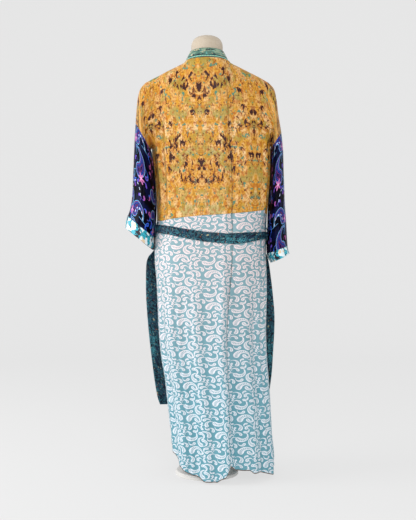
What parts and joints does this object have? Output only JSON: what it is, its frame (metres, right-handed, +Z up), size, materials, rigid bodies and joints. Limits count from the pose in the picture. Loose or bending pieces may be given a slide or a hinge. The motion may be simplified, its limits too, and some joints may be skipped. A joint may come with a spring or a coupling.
{
  "type": "kimono robe on a dress form",
  "caption": "Long kimono robe of printed silk panels with an untied belt, hanging open on a linen dress form with a round stand.",
  "frame": {"origin": "centre of the stand's flat underside, on the dress form's axis", "axes": "+Z up, -Y the wearer's front, +X the wearer's left"},
  "size_m": [0.508, 0.272, 1.354],
  "materials": {
    "gold_silk": "gold printed silk satin",
    "teal_silk": "pale teal paisley silk crepe",
    "navy_silk": "blue-black paisley silk",
    "cuff_silk": "turquoise printed silk",
    "band_silk": "green border-print silk",
    "belt_silk": "dark teal printed silk",
    "linen": "natural linen cover",
    "steel": "brushed steel tube",
    "lacquer": "off-white lacquered steel"
  },
  "bodies": {
    "root": {"upper_back": "gold_silk", "upper_front_left": "gold_silk", "upper_front_right": "gold_silk", "lower_back": "teal_silk", "lower_front_left": "teal_silk", "lower_front_right": "teal_silk", "sleeve_left": "navy_silk", "sleeve_right": "navy_silk", "cuff_left": "cuff_silk", "cuff_right": "cuff_silk", "neckband_back": "band_silk", "front_band_left": "band_silk", "front_band_right": "band_silk", "belt_back": "belt_silk", "belt_end_left": "belt_silk", "belt_end_right": "belt_silk", "belt_loop_left": "belt_silk", "belt_loop_right": "belt_silk", "form_torso": "linen", "form_pole": "steel", "form_base": "lacquer"}
  },
  "joints": []
}
